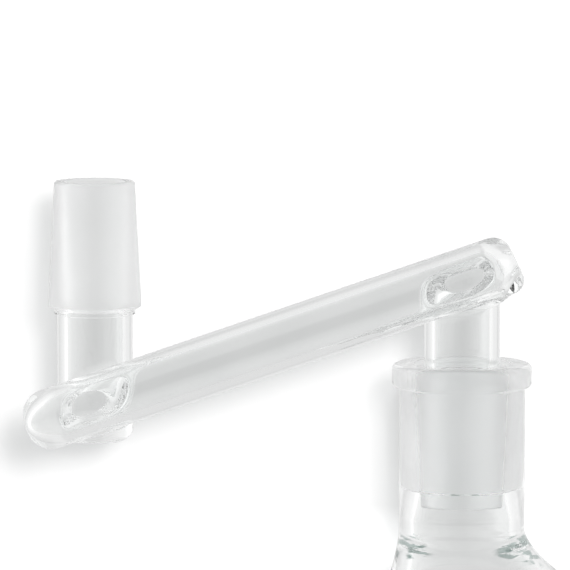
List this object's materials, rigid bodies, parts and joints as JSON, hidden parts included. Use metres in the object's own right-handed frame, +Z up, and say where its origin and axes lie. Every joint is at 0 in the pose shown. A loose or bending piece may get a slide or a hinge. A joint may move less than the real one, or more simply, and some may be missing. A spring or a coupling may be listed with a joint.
{
  "type": "glass drop adapter",
  "caption": "Clear borosilicate drop adapter: a slanted arm tube with two upright stems ending in ground cones, seated in the ground socket of a vessel neck.",
  "frame": {"origin": "on the axis of the socket and the lower stem, at the middle of the plain neck between the collar and the vessel's shoulder, where a clamp grips it", "axes": "+Z up along the socket, +X from the upper stem towards the lower stem and socket, +Y from the arm towards the stems that are fused to its back"},
  "size_m": [0.1101, 0.0368, 0.0814],
  "materials": {
    "clear_glass": "clear fire-polished borosilicate, gloss",
    "ground_glass": "finely ground, matt white, translucent"
  },
  "bodies": {
    "socket_side": {"socket_collar": "clear_glass", "ground_socket": "ground_glass", "neck_tube": "clear_glass", "neck_weld": "clear_glass", "vessel_shoulder": "clear_glass"},
    "lower_cone": {"lower_ground_cone": "ground_glass"},
    "adapter": {"lower_cone_ring": "clear_glass", "lower_stem": "clear_glass", "lower_stem_end": "clear_glass", "lower_weld": "clear_glass", "arm_tube": "clear_glass", "arm_left_end": "clear_glass", "arm_right_end": "clear_glass", "upper_weld": "clear_glass", "upper_stem_end": "clear_glass", "upper_stem": "clear_glass", "upper_cone_ring": "clear_glass", "upper_ground_cone": "ground_glass"}
  },
  "joints": [
    {"name": "lift_out", "type": "slide", "parent": "socket_side", "child": "lower_cone", "axis": [0, 0, 1], "range_m": [0, 0.035]},
    {"name": "swivel", "type": "hinge", "parent": "lower_cone", "child": "adapter", "pos_m": [0, 0, 0.0193], "axis": [0, 0, 1], "continuous": true}
  ]
}
